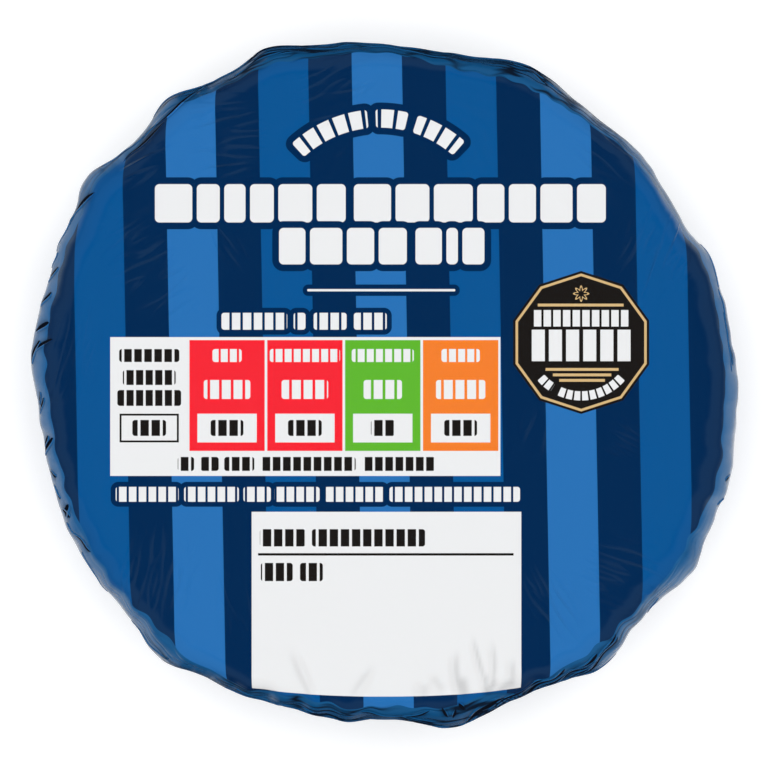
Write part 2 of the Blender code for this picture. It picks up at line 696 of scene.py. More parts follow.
def film_mesh(name: str, points: Array, faces: list[Array], film: Array, shade: Array) -> bpy.types.Object:
    """Makes a smooth piece of film out of points and faces.

    Args:
        name: the piece's name.
        points: one row of x, y and z, in millimetres, for each point.
        faces: arrays of faces, one row of point numbers for each face, anticlockwise from outside.
        film: one row of film coordinates for each point.
        shade: how much painted shade a crease gets at each point, from 0 to 1.

    Returns:
        The object, at the origin.
    """
    mesh = bpy.data.meshes.new(name)
    mesh.from_pydata((points * MM).tolist(), [], [row for block in faces for row in block.tolist()])
    mesh.attributes.new(FilmCoordinates.NAME, "FLOAT_VECTOR", "POINT").data.foreach_set(
        "vector", film.astype(np.float32).ravel()
    )
    # The crease attribute holds painted shade, which mixes the near-black fold shade into the film.
    mesh.attributes.new("crease", "FLOAT", "POINT").data.foreach_set("value", shade.astype(np.float32))
    mesh.update()
    mesh.shade_smooth()
    piece = bpy.data.objects.new(name, mesh)
    bpy.context.scene.collection.objects.link(piece)
    return piece


def fasten(piece: bpy.types.Object, material: bpy.types.Material) -> bpy.types.Object:
    """Gives a piece its material and the body that it rides on."""
    piece.data.materials.append(material)
    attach(piece, BODY)
    return piece


# Node graphs ----------------------------------------------------------------------------------


class Wire:
    """A number in a node graph, with the arithmetic that expressions on it use."""

    def __init__(self, graph: "Graph", socket: bpy.types.NodeSocket) -> None:
        """Wraps a socket of a graph."""
        self.graph, self.socket = graph, socket

    def maths(self, operation: str, *values: "Wire | float") -> "Wire":
        """The result of one Math node on some values."""
        return self.graph.wire("ShaderNodeMath", {"operation": operation}, dict(enumerate(values)))

    def root(self) -> "Wire":
        """The square root of self."""
        return self.maths("SQRT", self)

    def __add__(self, other: "Wire | float") -> "Wire":
        """self + other"""
        return self.maths("ADD", self, other)

    __radd__ = __add__

    def __sub__(self, other: "Wire | float") -> "Wire":
        """self - other"""
        return self.maths("SUBTRACT", self, other)

    def __rsub__(self, other: "Wire | float") -> "Wire":
        """other - self"""
        return self.maths("SUBTRACT", other, self)

    def __mul__(self, other: "Wire | float") -> "Wire":
        """self * other"""
        return self.maths("MULTIPLY", self, other)

    __rmul__ = __mul__

    def __truediv__(self, other: "Wire | float") -> "Wire":
        """self / other"""
        return self.maths("DIVIDE", self, other)

    def __abs__(self) -> "Wire":
        """The size of self without its sign."""
        return self.maths("ABSOLUTE", self)

    def least(self, other: "Wire | float") -> "Wire":
        """The smaller of self and other."""
        return self.maths("MINIMUM", self, other)

    def most(self, other: "Wire | float") -> "Wire":
        """The larger of self and other."""
        return self.maths("MAXIMUM", self, other)

    def held(self) -> "Wire":
        """self, held between 0 and 1."""
        return self.graph.wire("ShaderNodeClamp", {}, {"Value": self})

    def scaled(self, factor: float, offset: float) -> "Wire":
        """self * factor + offset, in one node."""
        return self.maths("MULTIPLY_ADD", self, factor, offset)

    def rising(self, start: float, end: float) -> "Wire":
        """A straight ramp that is 0 where self is start and 1 where it is end."""
        return self.scaled(1 / (end - start), start / (start - end)).held()


class Graph:
    """A material's or world's nodes."""

    def __init__(self, owner: bpy.types.Material | bpy.types.World) -> None:
        """Starts an empty graph.

        Args:
            owner: what the nodes belong to.
        """
        owner.use_nodes = True
        self.tree = owner.node_tree
        self.tree.nodes.clear()

    def node(self, kind: str, settings: dict[str, Any], sockets: dict[str | int, Any]) -> bpy.types.Node:
        """Adds a node.

        Args:
            kind: the node's type.
            settings: the node's own settings, which are set before its sockets.
            sockets: a value, a wire or a socket to link for each input, by its name, number or
                identifier.

        Returns:
            The node.
        """
        made = self.tree.nodes.new(kind)
        for setting, value in settings.items():
            setattr(made, setting, value)
        by_identifier = {socket.identifier: socket for socket in made.inputs}
        for key, value in sockets.items():
            target = by_identifier[key] if key in by_identifier else made.inputs[key]
            source = value.socket if isinstance(value, Wire) else value
            if isinstance(source, bpy.types.NodeSocket):
                self.tree.links.new(source, target)
            else:
                target.default_value = source
        return made

    def wire(
        self, kind: str, settings: dict[str, Any], sockets: dict[str | int, Any], output: str | int = 0
    ) -> Wire:
        """Adds a node and wraps one of its outputs."""
        return Wire(self, self.node(kind, settings, sockets).outputs[output])

    def vector(self, operation: str, *values: Any) -> Wire:
        """The vector that one Vector Math node makes of some vectors."""
        return self.wire("ShaderNodeVectorMath", {"operation": operation}, dict(enumerate(values)), "Vector")

    def blend(self, share: Wire | float, below: Any, above: Any) -> Wire:
        """A colour between two colours, above where share is 1."""
        sockets = {"Factor_Float": share, "A_Color": below, "B_Color": above}
        return self.wire("ShaderNodeMix", {"data_type": "RGBA"}, sockets, 2)

    def noise(self, place: Wire, size: float, detail: float = 2.0) -> Wire:
        """Smooth noise from 0 to 1 about 0.5, with lumps of about one size.

        Args:
            place: the vector that it is read at.
            size: how large its lumps are, in the vector's own units.
            detail: how many finer layers it has.

        Returns:
            The noise's value.
        """
        sockets = {"Vector": place, "Scale": 1.0 / size, "Detail": detail}
        return self.wire("ShaderNodeTexNoise", {}, sockets, 0)


class Ink(Enum):
    """The film's printing inks, and a painted shade of the plain film, as linear red, green and blue."""

    NAVY = (0.0003, 0.0165, 0.068)
    MID_BLUE = (0.0003, 0.068, 0.236)
    LIGHT_BLUE = (0.0150, 0.128, 0.374)
    PLAIN = (0.010, 0.096, 0.265)
    # The plain film darkened: a painted shade for the top and bottom of the print.
    PLAIN_PAINTED_SHADE = (0.003, 0.066, 0.185)
    WHITE = (0.69, 0.69, 0.695)
    BLACK = (0.010, 0.008, 0.007)
    RED = (0.77, 0.008, 0.017)
    GREEN = (0.094, 0.382, 0.015)
    ORANGE = (0.75, 0.17, 0.009)
    GOLD = (0.56, 0.38, 0.17)

    @property
    def rgba(self) -> tuple[float, float, float, float]:
        """The ink as an opaque colour."""
        return (*self.value, 1.0)


# The print ------------------------------------------------------------------------------------

Spans = tuple[tuple[float, float], ...]


def word(start: float, end: float, letters: tuple[float, ...], gap: float = 0.5) -> Spans:
    """One word as a row of blocks.

    Args:
        start: x of the word's left end.
        end: x of its right end.
        letters: the blocks' widths, in proportion to one another.
        gap: what is left free between two blocks.

    Returns:
        x of each block's two ends.
    """
    widths = np.array(letters) / sum(letters) * (end - start - gap * (len(letters) - 1))
    lefts = start + np.concatenate([[0.0], np.cumsum(widths + gap)[:-1]])
    return tuple(zip(lefts.tolist(), (lefts + widths).tolist()))


@dataclass(frozen=True)
class Row:
    """A row of bars that stands for one line of print.

    Attributes:
        bottom: y of the bars' lower edges.
        top: y of their upper edges.
        spans: x of each bar's two ends.
        ink: what the bars are printed in.
        outline: how far the navy outline round them reaches, or 0 for none.
        corner: radius of their corners, or 0 where they are sharp.
        pitch: distance between the thin gaps that cut the bars into blocks, or 0 for none.
    """

    bottom: float
    top: float
    spans: Spans
    ink: Ink = Ink.WHITE
    outline: float = 0.0
    corner: float = 0.3
    pitch: float = 0.0


class Artwork:
    """Lays fields of ink on the film, one over another, by their distances in millimetres.

    A distance is negative inside a field and positive outside it.
    """

    SOFT = 0.04  # width over which an ink's edge fades
    GAP = 0.24  # share of a row's pitch that is left free between two blocks

    def __init__(self, graph: Graph, x: Wire, y: Wire, ground: Ink) -> None:
        """Starts with plain film.

        Args:
            graph: the material's nodes.
            x: place on the film to the right of its middle.
            y: place on the film towards the top of the print.
            ground: the ink that covers the whole film.
        """
        self.graph, self.x, self.y = graph, x, y
        self.colour: Any = ground.rgba

    def cover(self, distance: Wire) -> Wire:
        """How much ink lies at a distance: 1 inside the field, fading to 0 over its edge."""
        return distance.scaled(-1 / self.SOFT, 0.5).held()

    def lay(self, distance: Wire, ink: Ink) -> None:
        """Lays a field of ink over what is there."""
        self.colour = self.graph.blend(self.cover(distance), self.colour, ink.rgba)

    def distance(self, row: Row, x: Wire, y: Wire) -> Wire:
        """Distance from a row's bars.

        Along the row the distance is the least of those from the bars, each the distance from its
        middle less half its width. The distances along and across the row, both counted from the
        centres of the corners, then make one by Pythagoras, less the corners' radius. Where the
        corners are sharp, the larger of the two does.

        Args:
            row: the row of bars.
            x: coordinate along the row.
            y: coordinate across it.

        Returns:
            The distance.
        """
        along = [abs(x - (start + end) / 2) - (end - start) / 2 for start, end in row.spans]
        nearest = along[0]
        for other in along[1:]:
            nearest = nearest.least(other)
        across = abs(y - (row.bottom + row.top) / 2) - (row.top - row.bottom) / 2
        if not row.corner:
            return nearest.most(across)
        out, over = (nearest + row.corner).most(0.0), (across + row.corner).most(0.0)
        return (out * out + over * over).root() - row.corner

    def row(self, row: Row, x: Wire | None = None, y: Wire | None = None) -> None:
        """Lays a row of bars with its outline, cut into blocks where it has a pitch.

        Args:
            row: the row of bars.
            x: coordinate along the row, if it isn't the film's.
            y: coordinate across the row, if it isn't the film's.
        """
        x, y = x or self.x, y or self.y
        distance = self.distance(row, x, y)
        if row.outline:
            self.lay(distance - row.outline, Ink.NAVY)
        if row.pitch:
            gaps = row.pitch * self.GAP / 2 - x.maths("PINGPONG", x, row.pitch / 2)
            distance = distance.most(gaps)
        self.lay(distance, row.ink)

    def polar(self, x: float, y: float) -> tuple[Wire, Wire]:
        """Distance from a centre on the film, and angle round it in radians."""
        right, up = self.x - x, self.y - y
        return (right * right + up * up).root(), up.maths("ARCTAN2", up, right)


@dataclass(frozen=True)
class Arch:
    """A line of print on an arc, as a row whose x runs clockwise round the arc from its top.

    Attributes:
        x: centre of the arc.
        y: centre of the arc.
        radius: from the centre to the middle of the line.
        row: the bars.
    """

    x: float = -0.5
    y: float = 15.9
    radius: float = 13.2
    row: Row = Row(-1.0, 1.0, ((-9.8, -1.3), (-0.4, 3.0), (4.0, 9.5)), outline=0.75, pitch=1.72)

    def lay(self, art: Artwork) -> None:
        """Lays the line on the film."""
        radius, angle = art.polar(self.x, self.y)
        art.row(self.row, (pi / 2 - angle) * self.radius, radius - self.radius)


@dataclass(frozen=True)
class Badge:
    """A plain dark ten-sided badge with a gold line, a rosette and lines of blocks.

    Attributes:
        x: centre of the badge.
        y: centre of the badge.
        sides: how many sides it has, with a corner at its top.
        reach: from the centre to the middle of a side.
        line: from the centre to the gold line, at the middle of a side.
        line_width: width of that line.
        rosette: how far the rosette lies above the centre.
        petals: petals of the rosette.
        rows: the straight lines, counted from the centre.
        foot_radius: from the centre to the middle of the line on an arc at its foot.
        foot: that line, whose x runs anticlockwise from the badge's lowest corner.
    """

    x: float = 21.6
    y: float = 4.55
    sides: int = 10
    reach: float = 7.45
    line: float = 7.05
    line_width: float = 0.27
    rosette: float = 5.35
    petals: int = 8
    rows: tuple[Row, ...] = (
        Row(3.95, 4.25, ((-4.75, 4.65),), Ink.GOLD, corner=0.0),
        Row(1.75, 3.55, ((-5.35, 5.25),), pitch=1.06, corner=0.15),
        Row(-2.05, 1.4, ((-5.6, 5.65),), pitch=1.88, corner=0.3),
        Row(-3.1, -2.8, ((-3.9, 4.1),), Ink.GOLD, corner=0.0),
        Row(-3.7, -3.4, ((-3.1, 3.3),), Ink.GOLD, corner=0.0),
        Row(-4.3, -4.0, ((-2.4, 2.6),), Ink.GOLD, corner=0.0),
    )
    foot_radius: float = 5.85
    foot: Row = Row(-0.5, 0.5, ((-5.0, -3.3), (-2.5, 5.0)), pitch=0.85, corner=0.15)

    def lay(self, art: Artwork) -> None:
        """Lays the badge on the film.

        The distance from its centre, square to the nearest side, is the straight one times the
        cosine of the angle from that side's middle.
        """
        radius, angle = art.polar(self.x, self.y)
        half = pi / self.sides
        aside = angle.maths("PINGPONG", angle - (pi / 2 + half), half)
        square = radius * aside.maths("COSINE", aside)
        art.lay(square - self.reach, Ink.BLACK)
        art.lay(abs(square - self.line) - self.line_width / 2, Ink.GOLD)
        out, turn = art.polar(self.x, self.y + self.rosette)
        petal = out.maths("COSINE", turn * self.petals)
        art.lay(abs(out - 0.6 - petal * 0.2) - 0.1, Ink.GOLD)
        for row in self.rows:
            art.row(row, art.x - self.x, art.y - self.y)
        art.row(self.foot, (angle + pi / 2) * self.foot_radius, self.foot_radius - radius)


@dataclass(frozen=True)
class ValuesTable:
    """The table of values: a white field with five columns.

    Attributes:
        left: x of the first column's left edge.
        pitch: from one column to the next.
        width: width of a column.
        box: width of the box in each column.
    """

    left: float = -29.85
    pitch: float = 8.53
    width: float = 8.25
    box: float = 6.5

    def centred(self, first: int, *widths: float) -> Spans:
        """Spans of the given widths in the middle of the columns, from the numbered one on."""
        middles = [self.left + self.width / 2 + self.pitch * (first + i) for i in range(len(widths))]
        return tuple((middle - width / 2, middle + width / 2) for middle, width in zip(middles, widths))

    @property
    def fields(self) -> list[Row]:
        """The table's fields of colour, from the lowest up."""
        return [
            Row(-10.07, 5.14, ((-30.0, 12.75),), corner=0.0),
            Row(-7.33, 4.81, self.centred(1, self.width, self.width), Ink.RED, corner=0.0),
            Row(-7.33, 4.81, self.centred(3, self.width), Ink.GREEN, corner=0.0),
            Row(-7.33, 4.81, self.centred(4, self.width), Ink.ORANGE, corner=0.0),
            Row(-6.4, -3.25, self.centred(0, self.box), Ink.BLACK, corner=0.0),
            Row(-6.18, -3.47, self.centred(0, self.box - 0.44), corner=0.0),
            Row(-6.4, -3.25, self.centred(1, *[self.box] * 4), corner=0.0),
        ]

    @property
    def lines(self) -> list[Row]:
        """The lines of blocks in the table."""
        return [
            Row(2.41, 3.83, self.centred(0, 6.6), Ink.BLACK, pitch=1.1),
            Row(2.41, 3.83, self.centred(1, 3.2, 7.7, 6.8, 4.2), pitch=1.0),
            Row(-0.11, 1.53, self.centred(0, 5.8), Ink.BLACK, pitch=1.05),
            Row(-2.4, -0.66, self.centred(0, 7.0), Ink.BLACK, pitch=1.05),
            Row(-1.64, 0.44, self.centred(1, 5.1, 5.1, 4.2, 5.4), pitch=1.28),
            Row(-5.69, -3.94, self.centred(0, 3.7, 3.6, 3.7, 2.6, 3.6), Ink.BLACK, pitch=1.22),
            Row(
                -9.52, -7.99,
                ((-22.6, -20.8), (-20.1, -18.1), (-17.5, -14.2), (-13.5, -3.1), (-2.35, 5.6)),
                Ink.BLACK, pitch=1.12,
            ),
        ]

    def lay(self, art: Artwork) -> None:
        """Lays the table on the film."""
        for row in (*self.fields, *self.lines):
            art.row(row)


@dataclass(frozen=True)
class Stripes:
    """The stripes across the disc.

    Attributes:
        period: from one light stripe to the next; a mid-blue one runs half-way between.
        width: width of a stripe.
        shift: x of the middle light stripe.
        lean: how far a stripe strays to the left for each millimetre that it climbs.
    """

    period: float = 20.56
    width: float = 5.5
    shift: float = -0.14
    lean: float = 0.0185

    def lay(self, art: Artwork) -> None:
        """Lays the stripes on the film."""
        off = art.x - self.shift + art.y * self.lean
        fold = off.maths("PINGPONG", off, self.period / 2)
        art.lay(fold - self.width / 2, Ink.LIGHT_BLUE)
        art.lay(self.period / 2 - self.width / 2 - fold, Ink.MID_BLUE)


@dataclass(frozen=True)
class PrintedFilm:
    """Glossy film, printed with stripes, a table, a panel and lines of blocks.

    Attributes:
        roughness: how much the film spreads its reflections.
        ior: how much it bends light.
        shine: the tint of what it mirrors face on, which comes back through its dyed lacquer.
        most_painted_shade: the most painted shade, as the share of the fold shade mixed into the deepest creases.
        streak_height: height of the creases of a fan, in millimetres.
        streak_length: how long a crease of a fan is.
        streak_gap: how far its creases stand apart.
        titles: the two large lines.
        small: the small lines above and below the table.
        field: the white panel.
        bow: how fast its lower edge rises with the square of the way from its middle.
        panel: what is printed on it.
    """

    roughness: float = 0.15
    ior: float = 1.7
    shine: tuple[float, float, float, float] = (0.4, 0.75, 1.0, 1.0)
    most_painted_shade: float = 0.93
    streak_height: float = 0.1
    streak_length: float = 6.0
    streak_gap: float = 1.2
    titles: tuple[Row, ...] = (
        Row(
            17.7, 21.9,
            word(-25.1, -4.2, (4.4, 2.7, 2.5, 2.8, 4.0, 3.4)) + word(-3.3, 24.3, (4.4, 4.0, 4.6, 3.2, 3.2, 3.8, 3.4)),
            outline=0.75, corner=0.5,
        ),
        Row(
            13.1, 17.1,
            word(-11.5, 2.5, (3.1, 3.8, 3.2, 3.3)) + word(3.45, 11.0, (3.0, 1.3, 2.5)),
            outline=0.75, corner=0.5,
        ),
    )
    small: tuple[Row, ...] = (
        Row(10.15, 10.4, ((-8.4, 7.8),), outline=0.5, corner=0.1),
        Row(
            5.95, 7.8, ((-17.8, -10.6), (-9.9, -8.6), (-7.7, -4.1), (-3.3, 0.3)),
            outline=0.55, pitch=1.2,
        ),
        Row(
            -12.9, -11.27,
            ((-29.4, -22.5), (-21.9, -15.9), (-15.4, -12.4), (-12.0, -7.06), (-6.5, 0.05), (0.6, 14.9)),
            outline=0.55, pitch=1.08,
        ),
    )
    field: Row = Row(-34.25, -14.0, ((-14.5, 15.04),), corner=0.0)
    bow: float = 0.004
    panel: tuple[Row, ...] = (
        Row(-17.8, -15.9, ((-13.6, -8.6), (-7.9, 4.5)), Ink.BLACK, pitch=1.22),
        Row(-18.8, -18.53, ((-13.8, 14.2),), Ink.BLACK, corner=0.0),
        Row(-21.6, -19.6, ((-13.5, -10.0), (-9.2, -6.7)), Ink.BLACK, pitch=1.2),
    )

    def colour(self, graph: Graph, x: Wire, y: Wire, past: Wire, plain: Wire) -> Wire:
        """The print's colour.

        Args:
            graph: the material's nodes.
            x: place on the flat film to the right of its middle.
            y: place on the flat film towards the top of the print.
            past: how far a place lies outside the disc.
            plain: the colour outside the disc, with painted shade at the top and bottom of the print.

        Returns:
            The colour.
        """
        art = Artwork(graph, x, y, Ink.NAVY)
        Stripes().lay(art)
        sunk = ((self.field.top - y) / (self.field.top - self.field.bottom)).most(0.0)
        art.row(self.field, x, y - x * x * sunk * self.bow)
        for row in (*self.titles, *self.small, *self.panel):
            art.row(row)
        Arch().lay(art)
        ValuesTable().lay(art)
        Badge().lay(art)
        return graph.blend(art.cover(past), plain, art.colour)

    def streaks(self, graph: Graph) -> Wire:
        """Height of the fans' creases: the thin zero lines of noise, stretched along each fan."""
        frame_ = graph.wire("ShaderNodeAttribute", {"attribute_name": "streak"}, {}, "Vector")
        weight = Wire(graph, graph.node("ShaderNodeSeparateXYZ", {}, {0: frame_}).outputs[2])
        place = graph.vector("MULTIPLY", frame_, (1 / self.streak_length, 1 / self.streak_gap, 0.0))
        ridge = 1.0 - abs(graph.noise(place, 1.0, 0.0) - 0.5) / 0.1
        return ridge.held() * weight * self.streak_height

    def material(self) -> bpy.types.Material:
        """The finished material.

        Fine streaks bend the normal: noise that is stretched round the pie where the film is
        gathered, and down it elsewhere, plus a finer grain. The zero lines of the gathered streaks
        and the valleys beside tucks are painted in shade, by mixing in the near-black fold shade.
        """
        made = bpy.data.materials.new("printed film")
        graph = Graph(made)
        film = graph.wire("ShaderNodeAttribute", {"attribute_name": FilmCoordinates.NAME}, {}, "Vector")
        split = graph.node("ShaderNodeSeparateXYZ", {}, {0: film})
        x, y, past = (Wire(graph, socket) for socket in split.outputs)
        radius = (x * x + y * y).root().most(0.1)
        turn_x, turn_y = x / radius, y / radius
        gathered = turn_y * turn_y
        rim = past.rising(-0.3, 0.3) * (1.0 - past.rising(6.0, 16.0))

        def stretched(size_round: float, size_down: float, detail: float = 0.0) -> Wire:
            """Noise with lumps of one size round the rim, and of another down it, in millimetres."""
            round_ = 38.0 / size_round
            place = graph.wire(
                "ShaderNodeCombineXYZ", {}, {0: turn_x * round_, 1: turn_y * round_, 2: past / size_down}
            )
            return graph.noise(place, 1.0, detail)

        patches = graph.noise(film, 7.0, 0.0)
        lines = abs(stretched(7.0, 1.0, 1.0) - 0.5)
        wrinkles = stretched(1.3, 5.0, 1.0) - 0.5
        height = self.streaks(graph) + graph.noise(film, 1.4, 0.0) * 0.006
        worn = past.rising(-4.0, 0.0) * (1.0 - past.rising(44.0, 60.0))
        height = height + wrinkles * worn * (0.2 - gathered * 0.14)
        height = height + lines.least(0.07) * rim * gathered * 1.1
        # Painted shade: thin dark lines along the zero lines of the stretched noise, in patches, most at the top and
        # bottom of the rim.
        painted_line_shade = 1.0 - lines.rising(0.01, 0.1)
        painted_line_shade = painted_line_shade * rim * (gathered * 1.4 - 0.2).held() * patches.rising(0.3, 0.55)
        # Painted shade from the tucks' valleys and the creases' hollows, read from the mesh.
        crease = graph.wire("ShaderNodeAttribute", {"attribute_name": "crease"}, {}, "Fac")
        # Painted shade: the plain film outside the disc is darker at the top and bottom of the print.
        plain = graph.blend(gathered, Ink.PLAIN.rgba, Ink.PLAIN_PAINTED_SHADE.rgba)
        shader = graph.node(
            "ShaderNodeBsdfPrincipled",
            {},
            {
                "Base Color": self.colour(graph, x, y, past, plain),
                "IOR": self.ior,
                "Specular Tint": self.shine,
                "Roughness": self.roughness,
                "Normal": graph.wire("ShaderNodeBump", {}, {"Distance": MM, "Height": height}),
            },
        )
        # Painted shade: the film is mixed with the near-black fold shade by the crease attribute and the dark lines.
        dark = graph.node(
            "ShaderNodeMixShader",
            {},
            {0: (crease + painted_line_shade).least(self.most_painted_shade), 1: shader.outputs[0], 2: FoldShade().shader(graph)},
        )
        graph.node("ShaderNodeOutputMaterial", {}, {"Surface": dark.outputs[0]})
        return made


@dataclass(frozen=True)
class FoldShade:
    """Painted shade for the floor of a sharp fold, which hardly any light reaches.

    Attributes:
        colour: what little of it shows; the shade is painted in this near-black colour.
        specular: how much it reflects, where a plain surface has 0.5.
    """

    colour: tuple[float, float, float, float] = (0.004, 0.006, 0.012, 1.0)
    specular: float = 0.0

    def shader(self, graph: Graph) -> bpy.types.NodeSocket:
        """Adds its shader to a graph."""
        sockets = {"Base Color": self.colour, "Roughness": 0.8, "Specular IOR Level": self.specular}
        return graph.node("ShaderNodeBsdfPrincipled", {}, sockets).outputs[0]

    def material(self) -> bpy.types.Material:
        """The finished material."""
        made = bpy.data.materials.new("fold shade")
        graph = Graph(made)
        graph.node("ShaderNodeOutputMaterial", {}, {"Surface": self.shader(graph)})
        return made


# The pieces -----------------------------------------------------------------------------------


@dataclass(frozen=True)
class FilmWrap:
    """The film itself: one closed skin over the whole pack.

    Attributes:
        skin: the surface.
        cells: cells across the lid's grid, an even number.
        lid: how far along the film the grid reaches.
        rings: number of each ring from which the spacing changes.
        ring_ends: how far along the film those rings lie.
    """

    skin: Skin
    cells: int = 190
    lid: float = 35.0
    rings: tuple[int, ...] = (0, 36, 55, 70, 80)
    ring_ends: tuple[float, ...] = (35.0, 48.0, 62.0, 80.0, 108.5)

    def lid_places(self) -> tuple[Array, Array]:
        """Places of the lid's grid: a square that is bent into a disc.

        Each square ring of the grid becomes a circle. Along a side of the square the angle grows
        evenly, by 90 degrees from corner to corner.

        Returns:
            How far along the film each place lies, and its angle.
        """
        a, b = np.meshgrid(*[np.linspace(-1, 1, self.cells + 1)] * 2, indexing="ij")
        wide = np.abs(a) > np.abs(b)
        long_, short = np.where(wide, a, b), np.where(wide, b, a)
        part = pi / 4 * short / np.where(long_ == 0, 1.0, long_)
        turn = np.where(wide, part, pi / 2 - part)
        x, y = long_ * np.cos(turn), long_ * np.sin(turn)
        return np.hypot(x, y).ravel() * self.lid, np.arctan2(y, x).ravel()

    def rim_numbers(self) -> Array:
        """Numbers of the grid's outermost points, anticlockwise."""
        number = np.arange((self.cells + 1) ** 2).reshape(self.cells + 1, -1)
        sides = (number[-1, :-1], number[:0:-1, -1], number[0, :0:-1], number[:-1, 0])
        return np.concatenate(sides)

    def build(self, material: bpy.types.Material, coordinates: FilmCoordinates) -> bpy.types.Object:
        """Makes the film.

        Below the lid's grid each ring repeats the angles of the grid's outermost points, and the
        last one closes on a point in the middle of the base.

        Args:
            material: what it is made of.
            coordinates: how the print is laid out on it.

        Returns:
            The piece.
        """
        along, angle = self.lid_places()
        rim = self.rim_numbers()
        ring_along = np.interp(np.arange(1, self.rings[-1] + 1), self.rings, self.ring_ends)
        below_along, below_angle = np.meshgrid(ring_along, angle[rim], indexing="ij")
        along = np.concatenate([along, below_along.ravel(), [self.skin.meridian.length]])
        angle = np.concatenate([angle, below_angle.ravel(), [0.0]])

        number = np.arange((self.cells + 1) ** 2).reshape(self.cells + 1, -1)
        corners = (number[:-1, :-1], number[1:, :-1], number[1:, 1:], number[:-1, 1:])
        lid = np.stack(corners, -1).reshape(-1, 4)
        loops = np.vstack([rim, number.size + np.arange(below_along.size).reshape(below_along.shape)])
        after = np.roll(loops, -1, axis=1)
        wall = np.stack([loops[:-1], loops[1:], after[1:], after[:-1]], -1).reshape(-1, 4)
        pole = np.full(len(rim), len(along) - 1)
        fan = np.stack([loops[-1], pole, after[-1]], -1)

        points = self.skin.point(along, angle)
        film = coordinates.of(self.skin, along, angle, points)
        piece = film_mesh("film_wrap", points, [lid, wall, fan], film, self.skin.shade(along, angle))
        streak = piece.data.attributes.new("streak", "FLOAT_VECTOR", "POINT")
        streak.data.foreach_set("vector", coordinates.streaks(film).astype(np.float32).ravel())
        fasten(piece, material)
        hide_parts(NODE)
        return piece


def sliver_faces(count: int, steps: int, sides: int) -> list[Array]:
    """Faces of closed slivers, each a tube of rings that ends in a point at both ends.

    Points are numbered sliver by sliver: first its rings in turn, then its first and last point.

    Args:
        count: number of slivers.
        steps: rings in each.
        sides: points in each ring.

    Returns:
        The four-sided faces and the two arrays of three-sided ones.
    """
    size = steps * sides + 2
    base = (np.arange(count) * size)[:, None, None]
    loops = base + np.arange(steps * sides).reshape(1, steps, sides)
    after = np.roll(loops, -1, axis=2)
    quads = np.stack([loops[:, :-1], after[:, :-1], after[:, 1:], loops[:, 1:]], -1).reshape(-1, 4)
    first = np.broadcast_to(base[:, 0] + size - 2, loops[:, 0].shape)
    last = np.broadcast_to(base[:, 0] + size - 1, loops[:, 0].shape)
    start = np.stack([first, after[:, 0], loops[:, 0]], -1).reshape(-1, 3)
    end = np.stack([last, loops[:, -1], after[:, -1]], -1).reshape(-1, 3)
    return [quads, start, end]


def in_order(values: Array) -> Array:
    """Values of slivers' points, in the order that sliver_faces numbers them.

    Args:
        values: one row for each point of each ring of each sliver, the first and last ring being
            those that close to a point.

    Returns:
        One row for each point: a sliver's rings in turn, then the means of its two ends.
    """
    count, _, _, size = values.shape
    rings = values[:, 1:-1].reshape(count, -1, size)
    return np.concatenate([rings, values[:, [0, -1]].mean(axis=2)], axis=1).reshape(-1, size)


